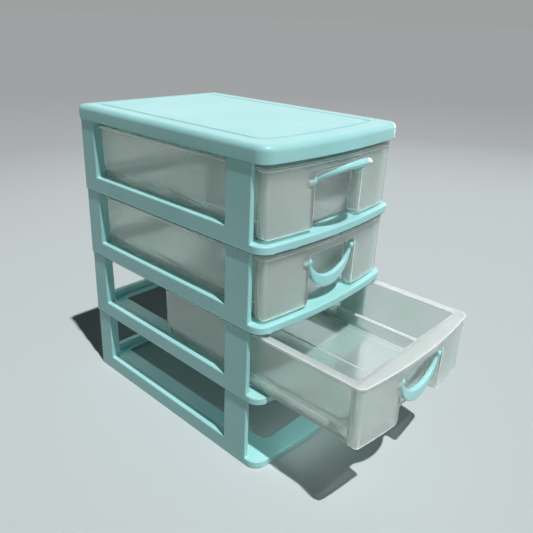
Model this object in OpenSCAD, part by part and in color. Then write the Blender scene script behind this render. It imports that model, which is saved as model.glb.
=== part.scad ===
// Desktop mini drawers: four stacked tier frames under a lid, with three see-through drawers
// that slide on the tiers' shelves. Each drawer has a bail handle hinged in a finger recess.
// Front is -Y, +Z is up, millimetres.

/* [Cabinet] */
// Width of the cabinet across its rims
cabinet_w = 128; // [116:1:150]
// Depth of the cabinet at its corners, without the bowed front
cabinet_d = 180; // [160:1:220]
// How far the front bows out at its middle
front_bow = 5.5; // [3:0.5:8]
// Height from one tier to the next
tier_h = 50; // [46:1:64]
// Plan radius of the front corners
front_corner_r = 9; // [7:0.5:11]
// Plan radius of the back corners
back_corner_r = 4; // [3:0.5:6]
// Moulded wall of the frames and the lid
wall = 2.2; // [1.8:0.1:2.6]
// How much narrower each tier is at its top than at its foot
draft = 0.75; // [0.4:0.05:1]

/* [Tier frame] */
// Height of the shelf ring that a drawer slides on, and of the front sill
shelf_h = 5; // [4:0.5:7]
// Height of the side and back rails above the foot
rail_h = 11; // [9:0.5:13]
// Depth of the side rails, from the outer face inwards
rail_w = 7.6; // [6.5:0.1:8.5]
// Depth of the back rail
back_rail_w = 5; // [4:0.5:6.5]
// Width of the shelf inside each side rail
shelf_w = 15; // [10:0.5:20]
// Depth of the front sill
sill_d = 17.5; // [15:0.5:19]
// Radius of the shelf opening's corners
shelf_r = 6; // [3:0.5:9]
// Radius of the side rails' inner corners, beside the front posts
rail_lead = 4; // [2.5:0.5:6]
// Setback of the front posts from the cabinet's front corners
post_setback = 9.3; // [8.5:0.1:12]
// Front to back size of the front posts
post_d = 20.2; // [14:0.2:26]
// Front to back size of the back posts
back_post_d = 18; // [14:0.5:24]
// Width of the back posts seen from behind
back_post_w = 11; // [9:0.5:16]
// Thickness of the front posts at their top
post_t = 2.85; // [2.6:0.05:3.6]
// Radius of the front posts' inner edges
post_r = 0.8; // [0.4:0.1:1.2]
// Thickness of the shelf ring and of the rails' tops
plate_t = 2; // [1.6:0.1:2.4]
// Thickness of the rails' inner faces and of the lip round the shelf opening
rib_t = 1.8; // [1.4:0.1:2]
// Height of the lower edge of the lip round the shelf opening
rib_lift = 1; // [0.5:0.25:2]
// Height of the tenons on top of the front posts
front_tenon_h = 2.6; // [1.5:0.1:2.7]
// Height of the tenons on top of the back posts
back_tenon_h = 5; // [3:0.5:7]
// Distance of the front tenons from their posts' front and back faces
tenon_inset = 3; // [2:0.5:5]

/* [Lid] */
// Height of the lid
lid_h = 10; // [8:0.5:14]
// Radius of the lid's top edge
lid_edge_r = 3.5; // [2:0.25:4]
// Distance of the lid's panel line from its sides
lid_line_side = 11.5; // [8:0.5:16]
// Distance of the lid's panel line from its front
lid_line_front = 14; // [10:0.5:20]
// Distance of the lid's panel line from its back
lid_line_back = 5; // [4:0.5:8]
// Radius of the panel line's front corners
lid_line_front_r = 8; // [5:0.5:10]
// Radius of the panel line's back corners
lid_line_back_r = 3; // [2:0.5:5]
// Width of each groove of the panel line
line_w = 0.8; // [0.5:0.1:1.2]
// Depth of each groove of the panel line
line_depth = 0.4; // [0.2:0.1:0.8]

/* [Drawer] */
// Skin of the front panel
skin = 1.8; // [1.4:0.1:2.2]
// Wall of the tray
tray_wall = 1.7; // [1.3:0.1:2.2]
// Floor of the tray
floor_t = 1.6; // [1.2:0.1:2.2]
// Distance from the rim's front edge back to the drawer's front face
panel_setback = 3; // [1.5:0.25:4]
// How far the drawer's rim stands out round its front panel
rim_lip = 0.8; // [0.4:0.1:1.2]
// Plan radius of the rim's front corners
panel_r = 5; // [4:0.5:8]
// Radius of the front panel's bottom corners
panel_foot_r = 2.5; // [1.5:0.25:4]
// Height of the front panel's bottom edge above the sill
panel_lift = 2.2; // [1:0.2:6]
// Depth of the finger recess, from the middle of the front face
recess_depth = 9.3; // [8:0.1:11]
// Width of the finger recess
recess_w = 45.6; // [38:0.2:54]
// Distance of the finger recess's top below the drawer's top
recess_drop = 6.9; // [6:0.1:9]
// Height of the step in the tray's walls above the rails
step_lift = 4.5; // [2:0.5:8]
// Width of the rim that runs round the tray's top
flange_w = 5.5; // [4:0.1:7]
// Radius of the rim's back corners
flange_r = 2; // [1:0.5:3]
// Plan radius of the tray's corners
tray_r = 5; // [3:0.5:7]
// Width of the plain strips of the floor, beside the walls
floor_strip = 6; // [4:0.5:9]
// Width of the plain strip along the middle of the floor
floor_middle = 18; // [10:1:26]
// Height of the raised fields of the floor
field_lift = 0.7; // [0.4:0.1:1.2]
// Radius of the raised fields' corners
field_r = 2; // [1:0.5:3]
// Room between the tray and the back rail when the drawer is shut
back_room = 4; // [2:0.5:10]
// Height of the pin bosses below the handle's axis
boss_drop = 4; // [3:0.2:6]
// How far the lowest drawer is drawn out as the cabinet stands
open_now = 71; // [30:1:100]

/* [Handle] */
// Distance of the handle's axis below the finger recess's top
pivot_drop = 5.4; // [4.6:0.2:6.6]
// Distance of the handle's axis behind the middle of the front face
pivot_setback = 2.9; // [2.6:0.1:3.4]
// Drop of the handle from its axis to its lowest edge
handle_drop = 21.4; // [18:0.2:24]
// Height of the handle's grip at its middle
grip_h = 7.8; // [6:0.2:9]
// Thickness of the handle at its ends
handle_t = 1.8; // [1.6:0.1:3.2]
// How much further the handle's front bulges at its middle
front_swell = 0.8; // [0.6:0.1:2]
// How much further the handle's back bulges at its middle
back_swell = 0.4; // [0.3:0.1:0.7]
// Radius of the handle's round ends, which carry the pins
ear_r = 1.8; // [1.7:0.05:2.4]
// Width of the handle's round ends
ear_w = 1.6; // [1.2:0.1:2.4]
// Distance of the crescent's tips from the handle's ends
tip_inset = 0.4; // [0.2:0.1:0.8]
// Radius of the handle's pins
pin_r = 1.4; // [1.1:0.05:1.5]
// Length of each pin
pin_l = 5.2; // [4:0.1:6]
// Angle at which the top drawer's handle stands, from hanging
handle_up = 122; // [90:1:125]

/* [Clearances] */
// Between the drawer's sides and the front posts
side_gap = 0.4; // [0.3:0.05:0.8]
// Between the tray and the shelf below it
slide_gap = 0.3; // [0.2:0.05:0.6]
// Between the tray's top and the tier above
head_gap = 2.5; // [1:0.1:4]
// Between the tray's rim and the back posts when the drawer is shut
stop_gap = 0.3; // [0.3:0.05:1]
// Between a tenon and the skirt round it
tenon_gap = 0.15; // [0.1:0.05:0.3]
// Between a pin and its bore, all round
pin_gap = 0.05; // [0.03:0.01:0.08]
// Between a pin's end and the end of its bore
pin_end_gap = 0.4; // [0.2:0.1:0.8]
// Between the handle's ends and the recess's sides
ear_gap = 1.2; // [0.6:0.1:1.6]

/* [Hidden] */
$fn = 48;
tiers = 4;
slice = 0.1;                                                  // height of the slices that a hull joins
over = 1;                                                     // overrun of cuts, and of joined shapes
mint = "#a9e2dc";
frost = [0.82, 0.87, 0.86, 0.5];
aqua = "#9fe6e6";

// Radius of an arc from its half chord and its rise
function arc_r(half_chord, rise) = (half_chord * half_chord + rise * rise) / (2 * rise);

half_w = cabinet_w / 2;
back_y = cabinet_d / 2;
front_y = -(cabinet_d / 2 + front_bow);                       // foremost point of the rims
bow_r = arc_r(half_w, front_bow);
bow_y = front_y + bow_r;                                      // centre of the front's curve

post_front = -cabinet_d / 2 + post_setback;
post_back = post_front + post_d;
post_in = half_w - draft - post_t;                            // inner face of the front posts
jamb_y = back_y - back_post_d;                                // front face of the back posts
sill_back = front_y + sill_d;
rail_in = half_w - rail_w;
shelf_in = rail_in - shelf_w;
shelf_back = back_y - back_rail_w;

flange_half = post_in - side_gap;
panel_half = flange_half - rim_lip;
panel_y = front_y + panel_setback;                            // middle of the drawer's front face
panel_z = shelf_h + panel_lift;
tray_z = shelf_h + slide_gap;
tray_top = tier_h - head_gap;
step_z = rail_h + step_lift;
tray_front_out = panel_y + recess_depth;
tray_front_in = tray_front_out + tray_wall;
upper_in = flange_half - flange_w;                            // inside of the tray above the step
upper_out = upper_in + tray_wall;
lower_in = upper_in - tray_wall;                              // inside of the tray below the step
lower_out = upper_in;
flange_back = jamb_y - stop_gap;
tray_back = shelf_back - back_room;
recess_half = recess_w / 2;
recess_z = tray_top - recess_drop;

pivot_y = panel_y + pivot_setback;
pivot_z = recess_z - pivot_drop;
handle_half = recess_half - ear_gap;
pin_end = handle_half + pin_l;

// The whole cabinet is set so that its overall box, with the open drawer, is centred on the origin
rest_front = min(panel_y - rim_lip, pivot_y - handle_t / 2 - front_swell) - open_now;
centre_y = -(rest_front + back_y) / 2;

// Plan outline with the bowed front: half width, inset from the rim's front, corner radii, back edge
module bowed(half, inset, r_front, to_y, r_back = 0) {
    big = bow_r - inset;
    corner_x = half - r_front;
    corner_y = bow_y - sqrt((big - r_front) * (big - r_front) - corner_x * corner_x);
    touch_x = corner_x * big / (big - r_front);
    intersection() {
        translate([0, bow_y]) circle(r = big, $fn = 720);
        translate([-touch_x, front_y - over]) square([2 * touch_x, to_y - r_back - front_y + over]);
    }
    for (side = [-1, 1]) {
        translate([side * corner_x, corner_y]) circle(r = r_front);
        if (r_back > 0) translate([side * (half - r_back), to_y - r_back]) circle(r = r_back);
    }
    translate([-half, corner_y]) square([2 * half, to_y - r_back - corner_y]);
    translate([-(half - r_back), corner_y]) square([2 * (half - r_back), to_y - corner_y]);
}

// Rectangle with rounded corners, from its two outer corners
module rounded(x0, y0, x1, y1, r) {
    translate([x0 + r, y0]) square([x1 - x0 - 2 * r, y1 - y0]);
    translate([x0, y0 + r]) square([x1 - x0, y1 - y0 - 2 * r]);
    for (x = [x0 + r, x1 - r], y = [y0 + r, y1 - r]) translate([x, y]) circle(r = r);
}

// Shelf opening of a tier, grown all round by more
module shelf_opening(more = 0) {
    rounded(-shelf_in - more, sill_back - more, shelf_in + more, shelf_back + more, shelf_r + more);
}

// Rim outline drawn in all round by less
module rim(less) {
    bowed(half_w - less, less, front_corner_r - less, back_y - less, max(back_corner_r - less, over));
}

// Outside of a tier, which narrows towards its top
module tier_envelope() {
    hull() {
        linear_extrude(slice) rim(0, $fn = 32);
        translate([0, 0, tier_h - slice]) linear_extrude(slice) rim(draft, $fn = 32);
    }
}

// Plan of a side rail with its lead-in at the front, drawn in by less
module rail_plan(less = 0) {
    lead = rail_lead - less;
    x0 = rail_in + less;
    y0 = post_back + less;
    translate([x0 + lead, y0]) square([half_w - x0 - lead, back_y - y0]);
    translate([x0, y0 + lead]) square([half_w - x0, back_y - y0 - lead]);
    translate([x0 + lead, y0 + lead]) circle(r = lead);
}

module front_post() {
    translate([0, 0, shelf_h - plate_t])
        linear_extrude(tier_h - shelf_h + plate_t)
            rounded(post_in, post_front, half_w + 2 * over, post_back, post_r);
}

module back_post() {
    translate([0, 0, rail_h - plate_t]) linear_extrude(tier_h - rail_h + plate_t) {
        translate([rail_in, jamb_y]) square([half_w - rail_in + over, wall]);
        translate([half_w - wall, jamb_y]) square([wall + over, back_post_d + over]);
        translate([half_w - back_post_w, back_y - wall]) square([back_post_w + over, wall + over]);
    }
}

// Plugs on the posts that enter the tier or the lid above
module tenons() {
    out = half_w - wall - tenon_gap;
    translate([post_in, post_front + tenon_inset, tier_h - over])
        cube([out - post_in, post_d - 2 * tenon_inset, over + front_tenon_h]);
    translate([rail_in + rib_t + tenon_gap, jamb_y, tier_h - over])
        cube([out - rail_in - rib_t - tenon_gap, wall, over + back_tenon_h]);
}

module frame() {
    intersection() {
        tier_envelope();
        union() {
            // skirt: as low as the sill in front, as high as the rails behind the front posts
            linear_extrude(shelf_h) difference() { rim(-over); rim(wall); }
            intersection() {
                linear_extrude(rail_h) difference() { rim(-over); rim(wall); }
                translate([-cabinet_w, post_front + over, 0]) cube([2 * cabinet_w, cabinet_d, rail_h]);
            }
            // shelf ring, open under the rails
            translate([0, 0, shelf_h - plate_t]) linear_extrude(plate_t) difference() {
                rim(wall / 2);
                shelf_opening();
                for (side = [0, 1]) mirror([side, 0]) intersection() {
                    rail_plan(rib_t);
                    rim(wall);
                }
            }
            translate([0, 0, rib_lift]) linear_extrude(shelf_h - rib_lift) difference() {
                shelf_opening(rib_t);
                shelf_opening();
            }
            // side rails
            for (side = [0, 1]) mirror([side, 0, 0]) {
                translate([0, 0, shelf_h - plate_t]) difference() {
                    linear_extrude(rail_h - shelf_h + plate_t) intersection() {
                        rail_plan();
                        rim(wall / 2);
                    }
                    translate([0, 0, -over]) linear_extrude(rail_h - shelf_h + over) intersection() {
                        rail_plan(rib_t);
                        rim(wall);
                    }
                }
                front_post();
                back_post();
            }
            // top of the back rail
            translate([0, 0, rail_h - plate_t]) linear_extrude(plate_t) intersection() {
                rim(wall / 2);
                translate([-half_w, shelf_back]) square([cabinet_w, back_rail_w]);
            }
        }
    }
    for (side = [0, 1]) mirror([side, 0, 0]) tenons();
}

module tier_frame(level) {
    color(mint) translate([0, 0, (level - 1) * tier_h]) frame();
}

module lid() {
    steps = 4;
    color(mint) translate([0, 0, tiers * tier_h]) difference() {
        hull() {
            linear_extrude(slice) rim(0, $fn = 32);
            for (i = [0:steps]) {
                turn = 90 * i / steps;
                translate([0, 0, lid_h - lid_edge_r * (1 - sin(turn)) - slice])
                    linear_extrude(slice) rim(lid_edge_r * (1 - cos(turn)), $fn = 32);
            }
        }
        translate([0, 0, -over]) linear_extrude(lid_h - wall + over) rim(wall);
        for (inset = [0, 2 * line_w]) lid_line(inset);
    }
}

// One groove of the line that bounds the lid's panel
module lid_line(inset) {
    side = half_w - lid_line_side - inset;
    front = lid_line_front + inset;
    back = back_y - lid_line_back - inset;
    translate([0, 0, lid_h - line_depth]) linear_extrude(line_depth + over) difference() {
        bowed(side, front, lid_line_front_r, back, lid_line_back_r);
        bowed(side - line_w, front + line_w, lid_line_front_r - line_w,
              back - line_w, lid_line_back_r - line_w);
    }
}

// Outline of the front panel seen from the front, with the finger recess cut out
module panel_face() {
    r = panel_foot_r;
    for (side = [0, 1]) mirror([side, 0]) {
        translate([recess_half, panel_z + r]) square([panel_half - recess_half, tray_top - panel_z - r]);
        translate([recess_half + r, panel_z]) square([panel_half - recess_half - 2 * r, r + over]);
        for (x = [recess_half + r, panel_half - r]) translate([x, panel_z + r]) circle(r = r);
        translate([recess_half - r, recess_z - r]) difference() {
            square([r + 0.01, r + 0.01]);
            circle(r = r);
        }
    }
    translate([-panel_half, recess_z]) square([2 * panel_half, tray_top - recess_z]);
}

// Bowed block that the front panel is cut from
module panel_solid() {
    linear_extrude(tray_top) bowed(panel_half, panel_setback, panel_r - rim_lip, 0);
}

// Space inside the front panel, open at its foot
module panel_hollow() {
    difference() {
        translate([0, 0, panel_z - over]) linear_extrude(tray_top - skin - panel_z + over)
            bowed(panel_half - skin, panel_setback + skin, panel_r - rim_lip - skin, 0);
        translate([-recess_half - skin, front_y, 0])
            cube([recess_w + 2 * skin, cabinet_d, recess_z + skin]);
        translate([-cabinet_w, tray_front_out, 0]) cube([2 * cabinet_w, cabinet_d, tier_h]);
    }
}

// Blocks behind the panel's skin that hold the handle's pins
module bosses() {
    intersection() {
        panel_solid();
        for (side = [0, 1]) mirror([side, 0, 0])
            translate([recess_half, front_y, pivot_z - boss_drop])
                cube([pin_end + pin_end_gap + skin - recess_half, pivot_y + pin_r + skin - front_y,
                      recess_z + skin / 2 - pivot_z + boss_drop]);
    }
}

// Space of the tray between two heights, from its front wall to its back
module tray(half, from_y, to_y, r, z0, z1) {
    translate([0, 0, z0]) linear_extrude(z1 - z0) {
        rounded(-half, 0, half, to_y, r);
        translate([-half, from_y]) square([2 * half, 2 * r - from_y]);
    }
}

module drawer() {
    hollow_r = tray_r - tray_wall;
    lower_back = tray_back - 2 * tray_wall;
    difference() {
        union() {
            difference() {
                union() {
                    tray(upper_out, tray_front_out, tray_back, tray_r, step_z, tray_top);
                    tray(lower_out, tray_front_out, tray_back - tray_wall, tray_r, tray_z, step_z + over);
                    translate([0, 0, tray_top - skin]) linear_extrude(skin)
                        bowed(flange_half, panel_setback - rim_lip, panel_r, flange_back, flange_r);
                    intersection() {
                        panel_solid();
                        translate([0, tray_front_in, 0]) rotate([90, 0, 0])
                            linear_extrude(tray_front_in - front_y) panel_face();
                    }
                }
                tray(upper_in, tray_front_in, tray_back - tray_wall, hollow_r,
                     step_z + tray_wall, tray_top + over);
                tray(lower_in, tray_front_in, lower_back, hollow_r,
                     tray_z + floor_t, step_z + tray_wall + over);
                panel_hollow();
            }
            bosses();
            for (side = [0, 1]) mirror([side, 0, 0])
                translate([0, 0, tray_z + floor_t / 2]) linear_extrude(floor_t / 2 + field_lift)
                    rounded(floor_middle / 2, tray_front_in + floor_strip,
                            lower_in - floor_strip, lower_back - floor_strip, field_r);
        }
        for (side = [0, 1]) mirror([side, 0, 0])
            translate([recess_half - over, pivot_y, pivot_z]) rotate([0, 90, 0])
                cylinder(r = pin_r + pin_gap, h = pin_end + pin_end_gap - recess_half + over);
    }
}

module tier_drawer(level, open = 0) {
    color(frost) translate([0, -open, (level - 1) * tier_h]) drawer();
}

// Bail handle hanging from its axis: a crescent whose front and back bulge towards its middle,
// with a round end and a pin on each side
module bail() {
    span = handle_half - tip_inset;
    inner = handle_drop - grip_h;
    outer_r = arc_r(span, handle_drop);
    inner_r = arc_r(span, inner);
    steps = 12;
    function half_t(x, swell) = handle_t / 2 + swell * (1 - x * x / (span * span));
    intersection() {
        translate([0, handle_drop, 0]) rotate([90, 0, 0]) linear_extrude(2 * handle_drop) difference() {
            translate([0, outer_r - handle_drop]) circle(r = outer_r, $fn = 180);
            translate([0, inner_r - inner]) circle(r = inner_r, $fn = 180);
        }
        translate([0, 0, -2 * handle_drop]) linear_extrude(4 * handle_drop) polygon(concat(
            [for (i = [-steps:steps]) let (x = handle_half * i / steps) [x, -half_t(x, front_swell)]],
            [for (i = [steps:-1:-steps]) let (x = handle_half * i / steps) [x, half_t(x, back_swell)]]));
    }
    for (side = [0, 1]) mirror([side, 0, 0]) {
        translate([handle_half - ear_w, 0, 0]) rotate([0, 90, 0]) cylinder(r = ear_r, h = ear_w);
        translate([handle_half, 0, 0]) rotate([0, 90, 0]) cylinder(r = pin_r, h = pin_l);
    }
}

module tier_handle(level, open = 0, up = 0) {
    color(aqua) translate([0, pivot_y - open, pivot_z + (level - 1) * tier_h])
        rotate([-up, 0, 0]) bail();
}

module placed() { translate([0, centre_y, 0]) children(); }

placed() lid();
placed() tier_frame(1);  // frame_1
placed() tier_frame(2);  // frame_2
placed() tier_frame(3);  // frame_3
placed() tier_frame(4);  // frame_4
placed() tier_drawer(2, open = open_now);  // drawer_2
placed() tier_drawer(3);  // drawer_3
placed() tier_drawer(4);  // drawer_4
placed() tier_handle(2, open = open_now);  // handle_2
placed() tier_handle(3);  // handle_3
placed() tier_handle(4, up = handle_up);  // handle_4
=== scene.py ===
import math

import bmesh
import bpy
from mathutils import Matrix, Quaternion, Vector


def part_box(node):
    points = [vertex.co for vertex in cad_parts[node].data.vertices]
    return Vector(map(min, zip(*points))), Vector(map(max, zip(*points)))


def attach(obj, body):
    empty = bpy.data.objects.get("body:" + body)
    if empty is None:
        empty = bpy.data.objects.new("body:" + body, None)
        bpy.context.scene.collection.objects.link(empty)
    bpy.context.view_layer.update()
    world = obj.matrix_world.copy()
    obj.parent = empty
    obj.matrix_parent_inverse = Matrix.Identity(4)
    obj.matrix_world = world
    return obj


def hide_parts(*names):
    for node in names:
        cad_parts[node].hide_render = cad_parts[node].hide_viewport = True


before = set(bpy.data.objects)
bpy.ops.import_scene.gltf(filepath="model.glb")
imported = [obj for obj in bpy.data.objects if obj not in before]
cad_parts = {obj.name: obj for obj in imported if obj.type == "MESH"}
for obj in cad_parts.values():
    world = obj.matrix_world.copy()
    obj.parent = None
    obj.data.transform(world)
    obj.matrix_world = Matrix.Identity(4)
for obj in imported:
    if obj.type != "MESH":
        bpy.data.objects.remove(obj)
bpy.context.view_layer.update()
mm = 0.001
print("frame loaded:", len(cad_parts), "nodes")


# Camera

photoView = {
    "place": (-0.2688, -0.24385, 0.2686),
    "aim": (0.0016, 0.00285, 0.1073),
    "roll": 2.13,                     # degrees, the photo leans a little
    "lens": 38.07,
    "sensor": 36.0,
    "nearest": 0.01,                  # metres from the lens at which things start to show
}


def addObject(name, data):
    thing = bpy.data.objects.new(name, data)
    bpy.context.scene.collection.objects.link(thing)
    return thing


def turnAlong(thing, direction, roll=0):
    # cameras and lamps look along their own -Z
    thing.rotation_mode = "QUATERNION"
    level = Vector(direction).to_track_quat("-Z", "Y")
    thing.rotation_quaternion = level @ Quaternion((0, 0, 1), math.radians(roll))


def addCamera(view):
    data = bpy.data.cameras.new("photoCamera")
    data.lens = view["lens"]
    data.sensor_width = view["sensor"]
    data.clip_start = view["nearest"]
    camera = addObject("photoCamera", data)
    camera.location = view["place"]
    turnAlong(camera, Vector(view["aim"]) - Vector(view["place"]), view["roll"])
    bpy.context.scene.camera = camera


addCamera(photoView)
bpy.context.scene.view_settings.view_transform = "Standard"
print("camera set")


# Colours and node helpers

def hexToLinear(code):
    parts = [int(code[i:i + 2], 16) / 255 for i in (1, 3, 5)]
    return tuple(c / 12.92 if c <= 0.04045 else ((c + 0.055) / 1.055) ** 2.4 for c in parts) + (1.0,)


def addNode(tree, kind, settings=None, links=None):
    # settings go to inputs by name or number, or else to properties, and links bring outputs to inputs
    node = tree.nodes.new(kind)
    for key, value in (settings or {}).items():
        if isinstance(key, int) or key in node.inputs:
            node.inputs[key].default_value = value
        else:
            setattr(node, key, value)
    for key, source in (links or {}).items():
        tree.links.new(source, node.inputs[key])
    return node


def newMaterial(name, shader):
    material = bpy.data.materials.new(name)
    material.use_nodes = True
    tree = material.node_tree
    tree.nodes.clear()
    principled = addNode(tree, "ShaderNodeBsdfPrincipled", shader)
    addNode(tree, "ShaderNodeOutputMaterial", None, {"Surface": principled.outputs["BSDF"]})
    place = addNode(tree, "ShaderNodeTexCoord")
    return material, tree, principled, place.outputs["Object"]


patterns = {
    "patchDetail": 2.0,
    "patchEdges": (0.35, 0.65),       # where the dark colour ends and the light one begins
    "grainDetail": 3.0,
    "grainStrength": 0.25,
}


def mottle(tree, place, size, colours):
    # soft patches of two close colours, size in metres across
    noise = addNode(tree, "ShaderNodeTexNoise", {"Scale": 1 / size, "Detail": patterns["patchDetail"]},
                    {"Vector": place})
    ramp = addNode(tree, "ShaderNodeValToRGB", None, {"Fac": noise.outputs["Fac"]})
    for stop, position, colour in zip(ramp.color_ramp.elements, patterns["patchEdges"], colours):
        stop.position = position
        stop.color = hexToLinear(colour)
    return ramp.outputs["Color"]


def grain(tree, place, size, depth):
    # fine moulded grain as bump, size and depth in metres
    noise = addNode(tree, "ShaderNodeTexNoise", {"Scale": 1 / size, "Detail": patterns["grainDetail"]},
                    {"Vector": place})
    bump = addNode(tree, "ShaderNodeBump", {"Strength": patterns["grainStrength"], "Distance": depth},
                   {"Height": noise.outputs["Fac"]})
    return bump.outputs["Normal"]


def letLightThrough(tree, share):
    # a lamp's light passes each upright wall of see-through plastic, less of it where it comes aslant,
    # while level faces, such as floors and rims, keep it out, or the drawer's shadow gets too pale
    aslant = addNode(tree, "ShaderNodeLayerWeight")
    straight = addNode(tree, "ShaderNodeMath", {"operation": "MULTIPLY_ADD", 1: -share, 2: share},
                       {0: aslant.outputs["Facing"]})
    face = addNode(tree, "ShaderNodeNewGeometry")
    normal = addNode(tree, "ShaderNodeSeparateXYZ", None, {"Vector": face.outputs["Normal"]})
    level = addNode(tree, "ShaderNodeMath", {"operation": "ABSOLUTE"}, {0: normal.outputs["Z"]})
    upright = addNode(tree, "ShaderNodeMath", {"operation": "SUBTRACT", 0: 1.0}, {1: level.outputs["Value"]})
    walls = addNode(tree, "ShaderNodeMath", {"operation": "MULTIPLY"},
                    {0: upright.outputs["Value"], 1: straight.outputs["Value"]})
    ray = addNode(tree, "ShaderNodeLightPath")
    passed = addNode(tree, "ShaderNodeMath", {"operation": "MULTIPLY"},
                     {0: ray.outputs["Is Shadow Ray"], 1: walls.outputs["Value"]})
    kept = addNode(tree, "ShaderNodeMath", {"operation": "SUBTRACT", 0: 1.0}, {1: passed.outputs["Value"]})
    return kept.outputs["Value"]


def plastic(name, finish, shader="shader", colours=("dark", "light")):
    material, tree, principled, place = newMaterial(name, finish[shader])
    colour = mottle(tree, place, finish["patch"], [finish[colour] for colour in colours])
    tree.links.new(colour, principled.inputs["Base Color"])
    tree.links.new(grain(tree, place, finish["grain"], finish["grainDepth"]), principled.inputs["Normal"])
    if "shadowPass" in finish:
        tree.links.new(letLightThrough(tree, finish["shadowPass"]), principled.inputs["Alpha"])
    return material


# Finishes

mintFinish = {
    "dark": "#a7e1e0",
    "light": "#aee7e6",
    "patch": 40 * mm,
    "grain": 0.9 * mm,
    "grainDepth": 0.03 * mm,
    "shader": {"Roughness": 0.36, "IOR": 1.49, "Subsurface Weight": 0.08, "Subsurface Scale": 1.5 * mm,
               "Subsurface Radius": (0.6, 1.0, 0.9)},
}

frostFinish = {
    "dark": "#ecf9f1",
    "light": "#f4fdf8",
    # white, a painted highlight on the rounded edges, and also mixed into the rims' flat tops
    "edge": "#ffffff",
    "patch": 25 * mm,
    "grain": 1.2 * mm,
    "grainDepth": 0.03 * mm,
    "shader": {"Roughness": 0.15, "IOR": 1.38, "Transmission Weight": 0.75, "Specular IOR Level": 0.3,
               "Subsurface Weight": 1.0, "Subsurface Scale": 4 * mm, "Subsurface Radius": (1.0, 1.0, 1.0)},
    "rimShader": {"Roughness": 0.4, "IOR": 1.38, "Transmission Weight": 0.6, "Specular IOR Level": 0.3},
    "edgeShader": {"Roughness": 0.6, "IOR": 1.38, "Transmission Weight": 0.12},
    "shadowPass": 0.8,                # share of a lamp's light that a wall lets by
}

aquaFinish = {
    "dark": "#adeaeb",
    "light": "#b7f0f1",
    "patch": 12 * mm,
    "grain": 3 * mm,
    "grainDepth": 0.02 * mm,
    "shader": {"Roughness": 0.27, "IOR": 1.49, "Coat Weight": 0.2, "Coat Roughness": 0.12},
}

# Satin polypropylene from a fine-textured mould: soft highlights and a slight depth under the surface
mintMaterial = plastic("mintMouldedPolypropylene", mintFinish)
# Natural polypropylene, moulded thin: what is behind shows blurred, and walls look milky
frostMaterial = plastic("frostedMouldedPolypropylene", frostFinish)
# The flat tops of the rims, rougher and whiter, so they let less show through than the walls
frostRimMaterial = plastic("frostedPolypropyleneRim", frostFinish, "rimShader", ("light", "edge"))
# The same plastic seen end on, painted white and less clear on its rounded edges: a painted highlight for the
# light that the plastic catches there
frostEdgeHighlightMaterial = plastic("frostedPolypropyleneEdgePaintedHighlight", frostFinish, "edgeShader", ("light", "edge"))
# Glossy polypropylene from a smooth mould: clear highlights that spread a little
aquaMaterial = plastic("aquaPolishedPolypropylene", aquaFinish)
print("materials made")


# Pieces, which are copies of the CAD's with softened edges

cleaning = {
    "merge": 0.004,                   # millimetres, joins the loose triangles
    "flat": 0.6,                      # degrees, under which two faces are one
    "sharp": 32,                      # degrees, over which an edge is rounded
    "corners": 4,                     # a face with more is cut into triangles
    "flatWeight": 80,                 # 50 is even, and more lets the large faces rule the shading
}


def mergedCopy(nodeName):
    bm = bmesh.new()
    bm.from_mesh(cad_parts[nodeName].data)
    bmesh.ops.remove_doubles(bm, verts=bm.verts, dist=cleaning["merge"] * mm)
    return bm


def addPiece(nodeName, body, bm, materials):
    mesh = bpy.data.meshes.new(nodeName + "_soft")
    bm.to_mesh(mesh)
    bm.free()
    for material in materials:
        mesh.materials.append(material)
    piece = addObject(nodeName + "_soft", mesh)
    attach(piece, body)
    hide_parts(nodeName)
    return piece


def sharpEdges(bm, nodeName, cut):
    # the fine ones are those of grooves and raised fields, between two heights and behind the front
    sharp = [e for e in bm.edges if e.calc_face_angle(0) > math.radians(cleaning["sharp"])]
    if "fine" not in cut:
        return [], sharp
    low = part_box(nodeName)[0]
    foot, top = (low[2] + height * mm for height in cut["band"])
    front = low[1] + cut["behind"] * mm
    fine = [e for e in sharp if all(foot < v.co.z < top and v.co.y > front for v in e.verts)]
    return fine, [e for e in sharp if e not in fine]


def roundEdges(bm, sharp, radius, steps):
    # a bevel takes away some of the edges beside it, so only those that are left are rounded
    left = [e for e in sharp if e.is_valid]
    if not left:
        return []
    return bmesh.ops.bevel(bm, geom=left, offset=radius * mm, offset_type="OFFSET", segments=steps,
                           profile=0.5, affect="EDGES", clamp_overlap=False, material=-1)["faces"]


def softened(nodeName, body, cut, materials):
    bm = mergedCopy(nodeName)
    bmesh.ops.dissolve_limit(bm, angle_limit=math.radians(cleaning["flat"]), use_dissolve_boundaries=False,
                             verts=bm.verts, edges=bm.edges, delimit={"NORMAL"})
    manySided = [f for f in bm.faces if len(f.verts) > cleaning["corners"]]
    bmesh.ops.triangulate(bm, faces=manySided, ngon_method="BEAUTY")
    fine, coarse = sharpEdges(bm, nodeName, cut)
    made = roundEdges(bm, fine, cut.get("fine"), cut["steps"])
    made += roundEdges(bm, coarse, cut["radius"], cut["steps"])
    for face in bm.faces:
        face.smooth = True
    if "rim" in cut:
        whitenRim(bm, nodeName, cut, made)
    piece = addPiece(nodeName, body, bm, materials)
    weighted = piece.modifiers.new("flatFaces", "WEIGHTED_NORMAL")
    weighted.keep_sharp = True
    weighted.weight = cleaning["flatWeight"]


def whitenRim(bm, nodeName, cut, made):
    # rounded edges take the piece's second material, the white painted highlight, and the flat top of its rim
    # the third
    for face in made:
        if face.is_valid:
            face.material_index = 1
    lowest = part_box(nodeName)[1][2] - cut["rim"] * mm
    for face in bm.faces:
        if face.normal.z > cut["upward"] and face.calc_center_median().z > lowest:
            face.material_index = 2


handleCells = {
    "size": 0.3,
    "rounds": 26,                     # of smoothing
    "factor": 0.5,
    "grown": 0.25,                    # what the smoothing takes off, given back
}


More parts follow.
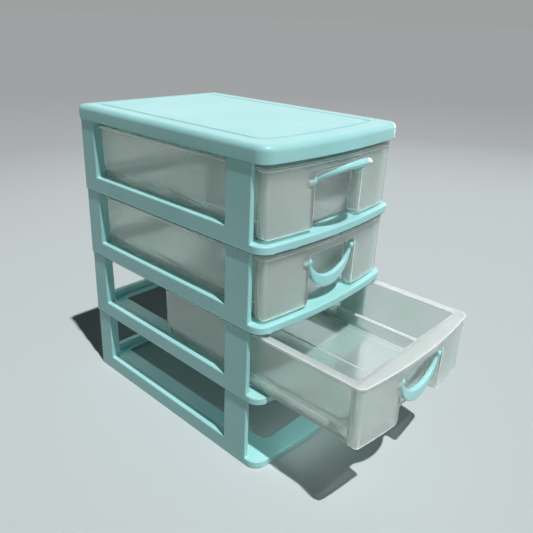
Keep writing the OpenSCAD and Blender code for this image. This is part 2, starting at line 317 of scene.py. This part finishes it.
def roundedHandle(nodeName, body, cells, materials):
    # remade in small cells and smoothed, so that the crescent's section is as round as a moulded grip
    piece = addPiece(nodeName, body, mergedCopy(nodeName), materials)
    remesh = piece.modifiers.new("cells", "REMESH")
    remesh.mode = "VOXEL"
    remesh.voxel_size = cells["size"] * mm
    remesh.use_smooth_shade = True
    soften = piece.modifiers.new("soften", "SMOOTH")
    soften.factor = cells["factor"]
    soften.iterations = cells["rounds"]
    grow = piece.modifiers.new("grow", "DISPLACE")
    grow.strength = cells["grown"] * mm
    grow.mid_level = 0.0


# In these, lengths are in millimetres, and heights and depths start at the piece's foot and front

lidEdges = {
    "radius": 0.45,
    "steps": 3,
    "fine": 0.1,                      # along the two grooves round the panel
    "band": (9.0, 10.5),
    "behind": 0,
}

tierEdges = {"radius": 0.85, "steps": 4}

drawerEdges = {
    "radius": 0.55,
    "steps": 3,
    "fine": 0.25,                     # round the raised fields of the floor
    "band": (1.5, 2.5),
    "behind": 11,
    "rim": 0.05,                      # how near the drawer's top the flat faces of its rim lie
    "upward": 0.99,                   # their normal's height, which is 1 for a face that is level
}

softened("lid", "cabinet", lidEdges, [mintMaterial])
for tier in (1, 2, 3, 4):
    softened(f"frame_{tier}", "cabinet", tierEdges, [mintMaterial])
for tier in (2, 3, 4):                # the lowest tier has no drawer
    softened(f"drawer_{tier}", f"drawer_{tier}", drawerEdges,
             [frostMaterial, frostEdgeHighlightMaterial, frostRimMaterial])
    roundedHandle(f"handle_{tier}", f"handle_{tier}", handleCells, [aquaMaterial])
print("pieces softened")


# Studio

board = {
    "size": 400.0,                    # metres, so far that its end can't be seen
    # the middle of a painted pool of light; the steps below darken the board away from it as painted falloff
    # of the light
    "middle": (0.2, -0.12, 0.0),      # where it is palest
    "steps": ((0.5, "#cdd4d4"), (0.8, "#c2c6c5"), (1.05, "#b0b2b1"), (1.9, "#a3a5a4")),
    "bounce": "#a9aaa7",              # the colour of the light that it gives back to the object
    "shader": {"Roughness": 0.75, "Specular IOR Level": 0.0},
}


def seenDirectly(tree):
    # 1 for rays from the camera, off gloss and through clear plastic, 0 for light that only bounces
    ray = addNode(tree, "ShaderNodeLightPath")
    total = addNode(tree, "ShaderNodeMath", {"operation": "ADD"},
                    {0: ray.outputs["Is Camera Ray"], 1: ray.outputs["Is Glossy Ray"]})
    return addNode(tree, "ShaderNodeMath", {"operation": "ADD", "use_clamp": True},
                   {0: total.outputs["Value"], 1: ray.outputs["Is Transmission Ray"]}).outputs["Value"]


def boardWithPaintedLightPool():
    # matt board, its colour painted darker softly away from its middle: a painted pool of light
    material, tree, principled, place = newMaterial("boardWithPaintedLightPool", board["shader"])
    furthest = board["steps"][-1][0]
    reach = addNode(tree, "ShaderNodeVectorMath", {"operation": "DISTANCE", 1: board["middle"]}, {0: place})
    share = addNode(tree, "ShaderNodeMath", {"operation": "DIVIDE", 1: furthest}, {0: reach.outputs["Value"]})
    ramp = addNode(tree, "ShaderNodeValToRGB", None, {"Fac": share.outputs["Value"]})
    ramp.color_ramp.interpolation = "B_SPLINE"
    stops = ramp.color_ramp.elements
    while len(stops) < len(board["steps"]):
        stops.new(0.5)                # anywhere inside, its place is set below
    for stop, (distance, colour) in zip(stops, board["steps"]):
        stop.position = distance / furthest
        stop.color = hexToLinear(colour)
    mix = addNode(tree, "ShaderNodeMixRGB", {"Color1": hexToLinear(board["bounce"])},
                  {"Fac": seenDirectly(tree), "Color2": ramp.outputs["Color"]})
    tree.links.new(mix.outputs["Color"], principled.inputs["Base Color"])
    return material


def addFloor():
    bm = bmesh.new()
    bmesh.ops.create_grid(bm, x_segments=1, y_segments=1, size=board["size"] / 2)
    mesh = bpy.data.meshes.new("floor")
    bm.to_mesh(mesh)
    bm.free()
    mesh.materials.append(boardWithPaintedLightPool())
    floor = addObject("floor", mesh)
    return floor


def litByKeyAlone(floor):
    # the softboxes light the object alone, so the board keeps the key lamp's one clear shadow
    shades = bpy.data.collections.new("litByKeyAlone")
    shades.objects.link(floor)
    shades.collection_objects[0].light_linking.link_state = "EXCLUDE"
    return shades


# The key is a sun, its angle in degrees, and the softboxes are in metres and watts

keyLamp = {"travels": (0.085, 0.41, -1.0), "strength": 3.1, "angle": 1.2, "colour": "#fbfdff"}

softboxes = {
    "frontSoftbox": {"from": (0.55, -1.35, 0.3), "to": (0.0, 0.0, 0.1), "size": 1.0, "watts": 4.0,
                     "colour": "#f8fbff"},
    "rightSoftbox": {"from": (1.3, 0.15, 0.12), "to": (0.0, 0.05, 0.1), "size": 0.6, "watts": 8.0,
                     "colour": "#f8fbff"},
    "backSoftbox": {"from": (1.05, 0.95, 1.0), "to": (0.0, 0.0, 0.15), "size": 1.4, "watts": 5.0,
                    "colour": "#f4f9ff"},
}


def addLamp(name, kind, colour, direction):
    data = bpy.data.lights.new(name, kind)
    data.color = hexToLinear(colour)[:3]
    light = addObject(name, data)
    turnAlong(light, direction)
    return light


def addSun(name, lamp):
    light = addLamp(name, "SUN", lamp["colour"], lamp["travels"])
    light.data.energy = lamp["strength"]
    light.data.angle = math.radians(lamp["angle"])


def addSoftbox(name, lamp, shades):
    light = addLamp(name, "AREA", lamp["colour"], Vector(lamp["to"]) - Vector(lamp["from"]))
    light.location = lamp["from"]
    light.data.size = lamp["size"]
    light.data.energy = lamp["watts"]
    light.light_linking.receiver_collection = shades


air = {
    "colour": "#e4ebec",              # the faint light that the object gets from all sides
    "strength": 0.05,
    "seen": "#9ea1a0",                # what shows behind the board's end
    "seenStrength": 1.0,
}


def addWorld():
    world = bpy.data.worlds.new("studioAir")
    world.use_nodes = True
    tree = world.node_tree
    tree.nodes.clear()
    faint = addNode(tree, "ShaderNodeBackground",
                    {"Color": hexToLinear(air["colour"]), "Strength": air["strength"]})
    wall = addNode(tree, "ShaderNodeBackground",
                   {"Color": hexToLinear(air["seen"]), "Strength": air["seenStrength"]})
    ends = {"Fac": seenDirectly(tree), 1: faint.outputs["Background"], 2: wall.outputs["Background"]}
    either = addNode(tree, "ShaderNodeMixShader", None, ends)
    addNode(tree, "ShaderNodeOutputWorld", None, {"Surface": either.outputs["Shader"]})
    bpy.context.scene.world = world


floorShades = litByKeyAlone(addFloor())
addSun("keyLamp", keyLamp)
for name, lamp in softboxes.items():
    addSoftbox(name, lamp, floorShades)
addWorld()
print("studio lit")
